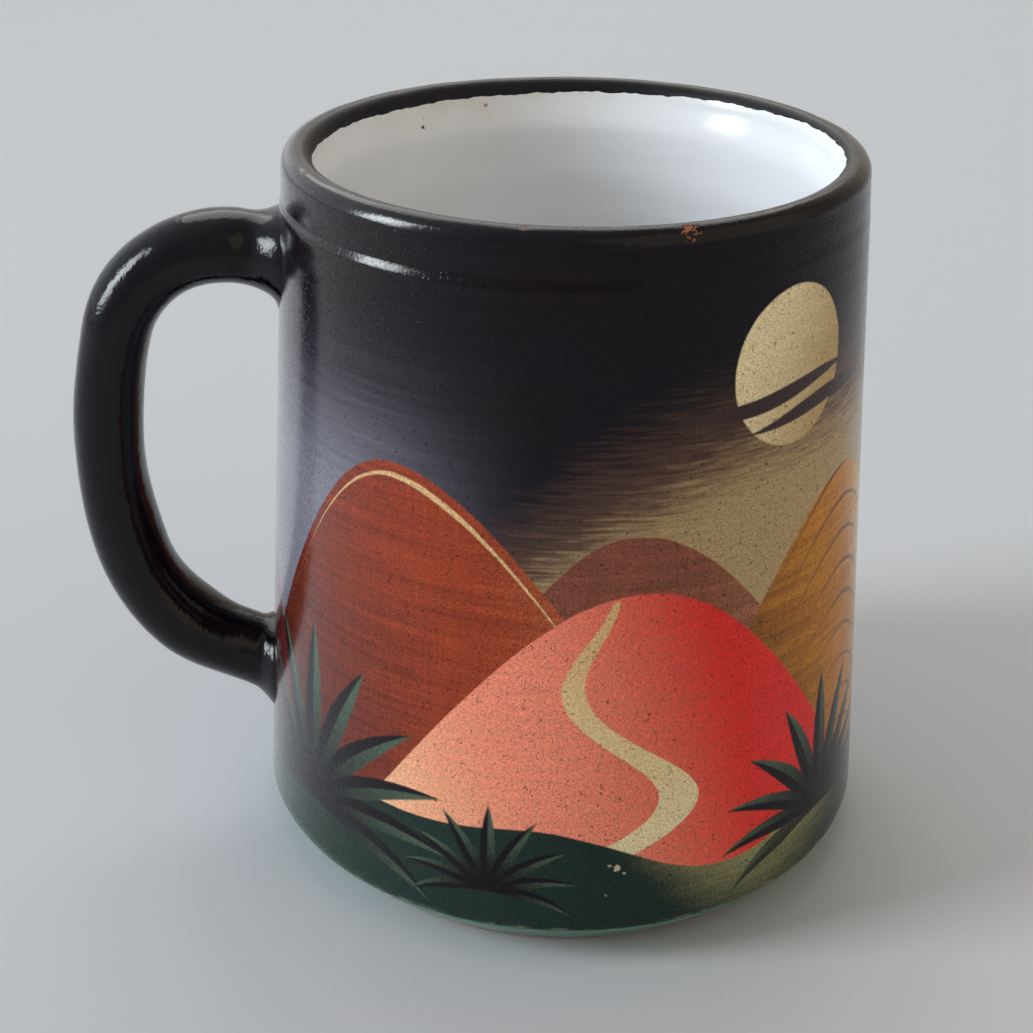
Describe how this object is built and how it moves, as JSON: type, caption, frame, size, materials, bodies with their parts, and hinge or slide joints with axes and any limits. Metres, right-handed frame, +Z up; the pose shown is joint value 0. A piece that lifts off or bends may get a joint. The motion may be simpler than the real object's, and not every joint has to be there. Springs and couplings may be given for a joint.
{
  "type": "clay mug",
  "caption": "Tapered hand-thrown clay mug with a round lip, bevelled foot and rolled loop handle, glazed white inside and painted outside, for hot drinks.",
  "frame": {"origin": "on the mug's axis, in the plane of the foot ring that it stands on", "axes": "+Z up along the axis of the body, -X out along the handle, +Y to complete the right-handed frame"},
  "size_m": [0.1184, 0.0924, 0.105],
  "materials": {
    "clay": "bare red earthenware, matte",
    "slip": "fired joining slip, matte",
    "engobe": "cream slip coat, matte",
    "paint": "hand-painted, glossy varnish",
    "black_paint": "black, glossy varnish",
    "glaze": "white tin glaze, soft gloss"
  },
  "bodies": {
    "root": {"clay_body": "clay", "engobe_coat": "engobe", "paint_coat": "paint", "rim_band": "black_paint", "glaze_lining": "glaze", "handle_coil": "clay", "handle_coat": "black_paint", "upper_slip_joint": "slip", "lower_slip_joint": "slip", "upper_collar": "clay", "lower_collar": "clay"}
  },
  "joints": []
}
